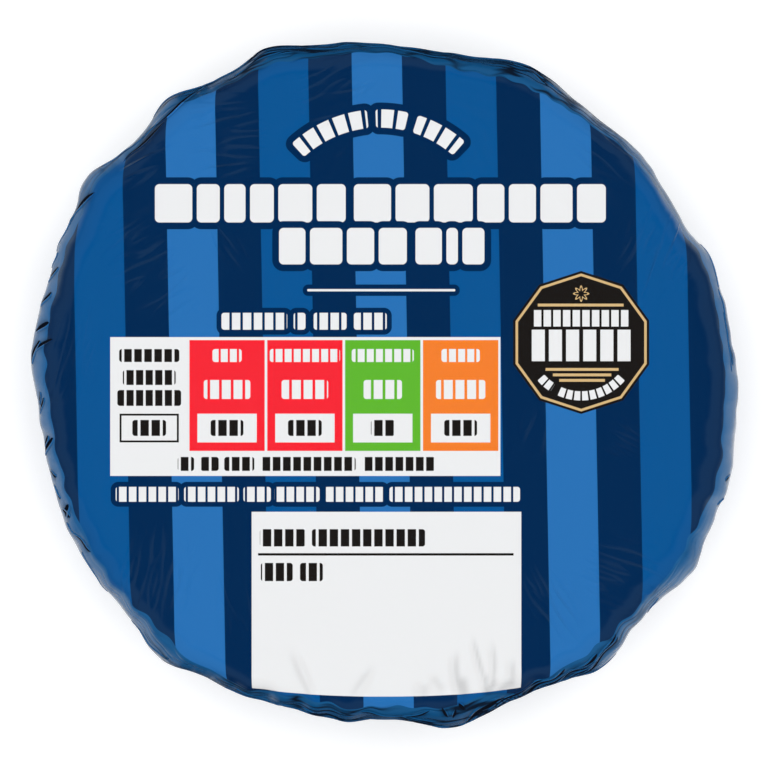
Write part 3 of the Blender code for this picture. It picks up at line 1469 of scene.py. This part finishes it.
@dataclass(frozen=True)
class FilmTucks:
    """The sharp folds: slivers of film, each with a raised lip and a floor below it in painted shade.

    Attributes:
        skin: the surface that they lie on.
        shade: material of the floors, a painted shade.
        steps: rings along each fold.
        section: the fold's cross-section, as the place across in half widths, downhill being
            positive, and the height as a share of the lip's, or less than 0 where it is buried.
        floor: the first and last side of the cross-section that are its floor.
        lip: height of the lip of a fold that is wide enough for all of it.
        full_width: how wide that is.
        lift: how far the floor lies off the skin.
        buried: how far the buried points lie off the skin.
    """

    skin: Skin
    shade: bpy.types.Material
    steps: int = 22
    section: tuple[tuple[float, float], ...] = (
        (-1.3, -1.0), (-1.0, 0.55), (-0.8, 0.95), (-0.65, 1.0), (-0.58, 0.6), (-0.5, 0.0),
        (0.8, 0.0), (1.0, 0.0), (1.1, -1.0),
    )
    floor: tuple[int, int] = (4, 6)
    lip: float = 0.05
    full_width: float = 0.8
    lift: float = 0.065
    buried: float = -0.1

    def build(self, material: bpy.types.Material, coordinates: FilmCoordinates) -> bpy.types.Object:
        """Makes all the folds as one piece.

        A fold's middle line runs from its start to its end, straight on the film but for its sway,
        one wave of a sine, and its bow, half a wave. Its rings stand square to the line.

        Args:
            material: what the lips are made of.
            coordinates: how the print is laid out on them.

        Returns:
            The piece.
        """
        tucks_ = self.skin.tucks
        starts, ends = np.array([t.start for t in tucks_]), np.array([t.end for t in tucks_])
        share = np.linspace(0, 1, self.steps + 2)[None, :, None]
        from_angle, from_along = np.radians(starts[:, :1, None]), starts[:, 1:, None]
        to_angle, to_along = np.radians(ends[:, :1, None]), ends[:, 1:, None]
        sway, bow = (np.array(part)[:, None, None] for part in zip(*((t.sway, t.bow) for t in tucks_)))
        across, up = (np.array(part)[None, None] for part in zip(*self.section))
        taper = np.stack([t.shape.width(share[0, :, 0]) for t in tucks_])[..., None]
        half = np.array([t.width for t in tucks_])[:, None, None] / 2 * taper

        stray = sway * np.sin(2 * pi * share) + bow * np.sin(pi * share)
        middle_along = from_along + (to_along - from_along) * share + stray
        middle_angle = from_angle + (to_angle - from_angle) * share
        radius = self.skin.meridian.at(middle_along.ravel())[0].reshape(middle_along.shape)
        down, round_ = np.gradient(middle_along, axis=1), np.gradient(middle_angle, axis=1) * radius
        side = np.where(round_ < 0, -1.0, 1.0) * half * across / np.hypot(down, round_)
        along, angle = middle_along + side * round_, middle_angle - side * down / radius
        height = self.lift + self.lip * np.clip(2 * half / self.full_width, 0.2, 1.3) * up
        along, angle, height = np.broadcast_arrays(along, angle, np.where(up < 0, self.buried, height))

        sides = len(self.section)
        faces = sliver_faces(len(tucks_), self.steps, sides)
        turned = round_[:, self.steps // 2, 0] < 0
        size = self.steps * sides + 2
        faces = [np.where(turned[block[:, 0] // size, None], block[:, ::-1], block) for block in faces]
        points = self.skin.point(along, angle, height)
        film = in_order(coordinates.of(self.skin, along, angle, points))
        piece = film_mesh("film_tucks", in_order(points), faces, film, np.zeros(len(film)))
        fasten(piece, material)
        # The second material, the fold shade, paints the folds' floors in shade.
        piece.data.materials.append(self.shade)
        first, last = self.floor
        floor = np.concatenate([np.arange(len(block)) % sides for block in faces])
        floor = (floor >= first) & (floor <= last)
        piece.data.polygons.foreach_set("material_index", floor.astype(np.int32))
        return piece


@dataclass(frozen=True)
class BaseSeal:
    """The lap where the film is sealed under the base: a flat strip with ribs across it.

    Attributes:
        skin: the surface that it lies on.
        length: from end to end, along X.
        width: across the strip.
        thickness: how far it stands off the film.
        rib_pitch: from one rib to the next.
        rib_height: how far a rib stands out.
        steps: rings along it.
        sides: points across its outer face.
    """

    skin: Skin
    length: float = 50.0
    width: float = 9.0
    thickness: float = 0.13
    rib_pitch: float = 1.6
    rib_height: float = 0.04
    steps: int = 190
    sides: int = 17

    def build(self, material: bpy.types.Material, coordinates: FilmCoordinates) -> bpy.types.Object:
        """Makes the strip.

        Its outer face is the skin of the base, let down by the thickness and by half a cosine for
        each rib, and its inner face lies just inside the skin.

        Args:
            material: what it is made of.
            coordinates: how the print is laid out on it.

        Returns:
            The piece.
        """
        x = np.linspace(-0.5, 0.5, self.steps + 2)[:, None] * self.length
        y_outer = np.linspace(-0.5, 0.5, self.sides) * self.width
        y = np.concatenate([y_outer, y_outer[::-1][[0, -1]]])[None, :]
        rib = self.rib_height * (1 + np.cos(2 * pi * x / self.rib_pitch)) / 2
        edge = between(self.length / 2 - np.abs(x), 0.0, 1.5) * between(self.width / 2 - np.abs(y), -0.01, 0.8)
        outer = self.thickness + rib * edge
        lift = np.where(np.arange(y.size)[None, :] < self.sides, outer, -0.06)
        x, y, lift = np.broadcast_arrays(x, y, lift)
        along = self.skin.meridian.length - np.hypot(x, y)
        angle = np.arctan2(y, x)
        points = self.skin.point(along, angle, lift)
        film = in_order(coordinates.of(self.skin, along, angle, points)[None])
        faces = sliver_faces(1, self.steps, y.shape[1])
        piece = film_mesh("base_seal", in_order(points[None]), faces, film, np.zeros(len(film)))
        return fasten(piece, material)


# The studio -----------------------------------------------------------------------------------


@dataclass(frozen=True)
class Studio:
    """A pale floor, soft light from above and both sides, and the camera straight above.

    The light from above is polarised, so that it lights the print and doesn't shine in the film,
    and nor does the floor.

    Attributes:
        floor_size: side of the floor.
        floor_colour: how much light the floor throws back.
        floor_glow: how much it gives off of its own, as a light table does.
        sky: brightness of the sky in front and behind.
        sides: what the sky gains towards the left and right.
        side_from: where that starts, and from where on it is whole, as a heading's share of X.
        key: what it gains towards the key light.
        key_heading: heading of the key light from +X, in radians.
        dark_above: height of a direction, as its z, above which the sky is no more than faint,
            and the height below which it is bright.
        faint: brightness of the faint part.
        faint_above: height at which it starts, and the height above which it is at its full.
        dark_cap: height above which the sky is dark, and the height below which it is faint.
        lamp_size: side of the square lamp above.
        lamp_height: height of the lamp.
        lamp_power: power of the lamp in watts.
        camera_height: height of the camera in metres.
        focus_height: height of the level that the lens is fitted to.
        field: what the picture takes in at that level, in metres.
        sensor: width of the camera's sensor in millimetres.
    """

    floor_size: float = 4.0
    floor_colour: float = 0.95
    floor_glow: float = 0.2
    sky: float = 0.02
    sides: float = 0.78
    side_from: tuple[float, float] = (0.35, 0.72)
    key: float = 0.3
    key_heading: float = radians(-50)
    dark_above: tuple[float, float] = (0.2, -0.4)
    faint: float = 0.28
    faint_above: tuple[float, float] = (0.0, 0.4)
    dark_cap: tuple[float, float] = (0.975, 0.82)
    lamp_size: float = 0.6
    lamp_height: float = 1.0
    lamp_power: float = 11.3
    camera_height: float = 0.636
    focus_height: float = 0.036
    field: float = 0.08488
    sensor: float = 36.0

    def floor(self) -> bpy.types.Object:
        """The floor, just under the pack."""
        half = self.floor_size / 2
        corners = [(-half, -half, 0), (half, -half, 0), (half, half, 0), (-half, half, 0)]
        mesh = bpy.data.meshes.new("floor")
        mesh.from_pydata(corners, [], [(0, 1, 2, 3)])
        plain = bpy.data.materials.new("pale floor")
        graph = Graph(plain)
        shade = (self.floor_colour,) * 3 + (1.0,)
        shader = graph.node(
            "ShaderNodeBsdfPrincipled",
            {},
            {"Base Color": shade, "Roughness": 0.9, "Emission Color": shade, "Emission Strength": self.floor_glow},
        )
        graph.node("ShaderNodeOutputMaterial", {}, {"Surface": shader.outputs[0]})
        mesh.materials.append(plain)
        made = bpy.data.objects.new("floor", mesh)
        made.location.z = -0.0001
        made.visible_glossy = False
        return made

    def light(self) -> None:
        """Lights the scene with a sky that is dim before and behind and bright at the sides.

        It is brightest in the heading of the key light, round which it fades with the sixth power
        of the cosine between the two. Higher up it is faint, and dark straight above.
        """
        world = bpy.data.worlds.new("studio")
        graph = Graph(world)
        place = graph.node("ShaderNodeTexCoord", {}, {}).outputs["Generated"]
        split = graph.node("ShaderNodeSeparateXYZ", {}, {0: place})
        x, y, z = (Wire(graph, socket) for socket in split.outputs)
        level = (x * x + y * y).root().most(0.001)
        aside = abs(x) / level
        key = ((x * cos(self.key_heading) + y * sin(self.key_heading)) / level).most(0.0)
        glow = aside.rising(*self.side_from) * self.sides + key.maths("POWER", key, 6.0) * self.key + self.sky
        faint = z.rising(*self.dark_cap) * z.rising(*self.faint_above) * self.faint
        strength = z.rising(*self.dark_above) * glow + faint
        sky = graph.node(
            "ShaderNodeBackground", {}, {"Color": (1.0, 1.0, 1.0, 1.0), "Strength": strength}
        )
        graph.node("ShaderNodeOutputWorld", {}, {"Surface": sky.outputs[0]})
        bpy.context.scene.world = world

    def lamp(self) -> bpy.types.Object:
        """The lamp above, which the film doesn't mirror."""
        data = bpy.data.lights.new("lamp", "AREA")
        data.size, data.energy = self.lamp_size, self.lamp_power
        made = bpy.data.objects.new("lamp", data)
        made.location.z = self.lamp_height
        made.visible_glossy = False
        return made

    def camera(self) -> bpy.types.Object:
        """The camera, looking straight down with +Y up."""
        data = bpy.data.cameras.new("camera")
        data.sensor_width = self.sensor
        data.lens = self.sensor * (self.camera_height - self.focus_height) / self.field
        data.clip_start = 0.01
        made = bpy.data.objects.new("camera", data)
        made.location.z = self.camera_height
        return made

    def build(self) -> list[bpy.types.Object]:
        """Sets up the floor, the lights and the camera, and returns what stands in the scene."""
        scene = bpy.context.scene
        scene.view_settings.view_transform = "Standard"
        self.light()
        floor, camera, lamp = self.floor(), self.camera(), self.lamp()
        for made in (floor, camera, lamp):
            scene.collection.objects.link(made)
        scene.camera = camera
        return [floor, camera, lamp]


# The pack -------------------------------------------------------------------------------------

LID_CREASES = (
    Crease(-27.3, 16.2, 15, 3.7),
    Crease(-26.4, 19.2, 35, 3.0),
    Crease(-25.9, 14.5, 32, 4.0, bend=0.2),
    Crease(-25.6, 12.1, 42, 4.5, bend=0.2),
    Crease(-26.1, 8.3, 35, 3.6),
    Crease(-16.8, 14.8, -50, 3.4),
    Crease(25.6, -17.5, -30, 3.5, bend=0.2),
    Crease(26.3, -20.2, -25, 4.0),
    Crease(26.7, -21.9, -5, 5.0),
    Crease(25.8, -23.4, -25, 4.5),
    Crease(16.4, -22.3, -45, 3.8),
    Crease(16.9, -24.1, -57, 5.0),
    Crease(19.9, -21.1, -10, 5.0),
    Crease(19.9, -28.7, -70, 3.6, 0.7, 0.08),
    Crease(31.1, -21.4, -30, 3.0),
    Crease(7.65, -32.0, -83, 4.4, 0.35, 0.3, 0.2, shade=0.16),
    Crease(8.3, -33.4, -80, 2.2, 0.5, 0.2, shade=0.22),
    Crease(10.2, -30.4, -75, 4.4, 0.22, 0.2, shade=0.2),
    Crease(10.9, -33.0, -92, 2.0, 0.3, 0.2, shade=0.2),
    Crease(11.9, -31.0, -90, 4.6, 0.25, 0.22, -0.2, shade=0.14),
    Crease(11.5, -33.2, -128, 1.8, 0.4, 0.2, shade=0.2),
    Crease(13.8, -32.0, -90, 3.0, 0.35, 0.25, shade=0.16),
    Crease(13.0, -33.2, -130, 2.2, 0.45, 0.2, shade=0.2),
    Crease(5.6, -33.2, -50, 1.8, 0.45, 0.2, shade=0.1),
    Crease(3.9, -33.7, -90, 1.4, 0.5, 0.2, shade=0.12),
    Crease(-2.2, -33.0, 55, 4.0, 0.4, 0.2, shade=0.08),
    Crease(-8.7, -32.4, 112, 6.0, 0.4, 0.25, shade=0.1),
    Crease(-5.0, 33.8, 25, 4.1),
    Crease(-5.0, 32.3, 25, 4.1),
    Crease(-5.5, 30.8, 20, 3.6),
    Crease(-16.4, 29.8, 12, 4.0),
    Crease(-16.0, 28.2, -5, 4.0),
    Crease(-16.6, 23.7, -30, 4.0),
    Crease(-5.0, 23.7, 60, 2.6),
    Crease(-2.1, 35.3, 35, 3.6),
)


# Each sharp fold of the rim: the angle and the way along the film of its start, then of its end, and
# the width of the dark line that it makes.
# The dark line of each fold is painted shade: its floor has the near-black fold shade.
RIM_TUCKS = (
    (232, 39.2, 223, 41.3, 0.25), (217, 41.3, 209, 39.5, 0.2), (209.8, 37.2, 205, 39.3, 0.3),
    (206.5, 38.6, 203.5, 39.5, 0.3), (202.8, 39.2, 200.9, 37.5, 0.5), (201.2, 39.4, 203, 37.9, 0.4),
    (199.5, 38.7, 197, 40.1, 0.35), (195.8, 38.5, 194.5, 40.0, 0.3), (191.8, 40.1, 189.3, 37.3, 0.5),
    (190.5, 40.2, 188.8, 38.6, 0.4), (185, 39.5, 182.3, 38.1, 0.25), (183.5, 39.6, 181.3, 38.6, 0.2),
    (176.8, 40.6, 172.8, 38.2, 0.5), (174.9, 39.2, 172.3, 36.4, 0.3), (171.5, 39.9, 169.6, 37.4, 0.4),
    (167.3, 40.3, 164.6, 38.7, 0.45), (163.2, 40.8, 160.3, 38.6, 0.35), (160.8, 41.4, 158, 40.0, 0.25),
    (152.8, 40.8, 146.5, 37.5, 0.35), (158, 41.4, 150, 39.4, 0.2),
    (139.5, 37.9, 130, 37.4, 0.25), (345.4, 40.6, 344.2, 39.5, 0.25),
    (341.5, 40.7, 340, 40.1, 0.35), (322, 39.5, 319, 40.7, 0.2),
    (280, 40.0, 271, 38.5, 0.4), (279, 38.8, 270, 37.7, 0.25),
    (274, 37.9, 266, 37.0, 0.25), (267, 39.9, 260, 39.6, 0.35),
    (262, 39.3, 256, 39.5, 0.3), (252, 40.1, 244, 38.7, 0.25),
    (116, 38.8, 106, 38.3, 0.2), (112, 39.3, 103, 38.4, 0.2), (108, 37.9, 100, 38.3, 0.2),
    (104, 39.0, 97, 39.1, 0.2), (98, 39.2, 88, 39.7, 0.25), (94, 38.6, 83, 38.8, 0.3),
    (90, 38.5, 79, 37.9, 0.25), (86, 39.5, 78, 39.1, 0.3), (66.5, 39.6, 61, 37.9, 0.3),
    (64.5, 39.6, 58.5, 38.6, 0.25), (68, 39.6, 62, 38.7, 0.2), (24, 41.3, 16, 39.6, 0.2),
    (16, 39.4, 3, 39.6, 0.25), (12, 39.0, 2, 39.0, 0.15),
)


# The boldest folds, which curve across the rim.
BOLD_TUCKS = (
    Tuck((290.5, 37.6), (283.4, 40.5), 1.3, 0.0, TuckShape.BLUNT, bow=-1.2),
    Tuck((278.0, 36.4), (270.5, 38.7), 0.5),
    Tuck((281.5, 41.2), (274.0, 40.3), 1.3),
    Tuck((280.2, 36.1), (280.9, 37.5), 0.45, 0.0),
    Tuck((282.4, 36.5), (281.6, 37.7), 0.45, 0.0),
    Tuck((283.2, 35.9), (283.9, 36.9), 0.5, 0.0),
    Tuck((250.5, 41.0), (258.0, 38.3), 1.1, 0.0, TuckShape.BLUNT, bow=-0.4),
    Tuck((142.5, 40.2), (131.0, 38.1), 0.45, 0.0, bow=0.25),
    Tuck((131.5, 38.1), (120.5, 40.8), 0.45, 0.0, bow=-1.65),
)


def tucks() -> tuple[Tuck, ...]:
    """All the sharp folds: those of the rim one by one, and the rest drawn at random.

    Those at random are the bundle of near-parallel folds at the rim's lower right, the long flat
    ones above and below the print, and those of the wall.
    """
    made = [*BOLD_TUCKS]
    for start, from_along, end, to_along, width in RIM_TUCKS:
        steep = abs(start - end) < 5
        shape = TuckShape.BLUNT if steep else TuckShape.SPINDLE
        made.append(Tuck((start, from_along), (end, to_along), width * (1.8 if steep else 2.2), shape=shape))
    draw = np.random.default_rng(21)
    for begin in np.linspace(284, 304, 14) + draw.uniform(-0.4, 0.4, 14):
        end = min(begin + draw.uniform(9, 14), 314 - draw.uniform(0, 1.5))
        foot, width = 37.4 + draw.uniform(-0.3, 0.8), draw.uniform(0.5, 0.85)
        made.append(Tuck((begin, 40.9), (end, foot), width, 0.0, TuckShape.BLUNT, -draw.uniform(0.5, 1.0)))
    for at in (*range(62, 126, 8), *range(242, 306, 8)):
        made.append(Tuck((at + 13, 41.9 - draw.uniform(0, 0.5)), (at, 40.7 + draw.uniform(0, 0.6)), 0.9))
    for at in np.arange(0, 360, 5.0) + draw.uniform(-2, 2, 72):
        start, turn = draw.uniform(45, 60), draw.uniform(-7, 7)
        fall, width, sway = draw.uniform(6, 20), draw.uniform(0.15, 0.45), draw.uniform(-0.4, 0.4)
        made.append(Tuck((at, start), (at + turn, start + fall), width, sway))
    return tuple(made)


def drapes(count: int = 44) -> tuple[Drape, ...]:
    """Soft folds down the wall, evenly spread but for a random stray, each with its own shape."""
    draw = np.random.default_rng(14)
    return tuple(
        Drape(
            at,
            top=draw.uniform(43, 56),
            foot=draw.uniform(60, 80),
            lean=draw.uniform(-9, 9),
            width=draw.uniform(0.5, 1.3),
            height=draw.uniform(0.08, 0.3),
        )
        for at in np.linspace(0, 360, count, endpoint=False) + draw.uniform(-3, 3, count)
    )


def main() -> None:
    """Builds the pack and the studio, and notes their sizes."""
    skin = Skin(LID_CREASES, tucks(), drapes())
    coordinates = FilmCoordinates()
    material = PrintedFilm().material()
    for maker in (FilmWrap(skin), FilmTucks(skin, FoldShade().material()), BaseSeal(skin)):
        piece = maker.build(material, coordinates)
        LOG.info("%s: %d faces", piece.name, len(piece.data.polygons))
    for made in Studio().build():
        LOG.info("%s stands in the studio", made.name)


if __name__ == "__main__":
    logging.basicConfig(level=logging.INFO)
    main()
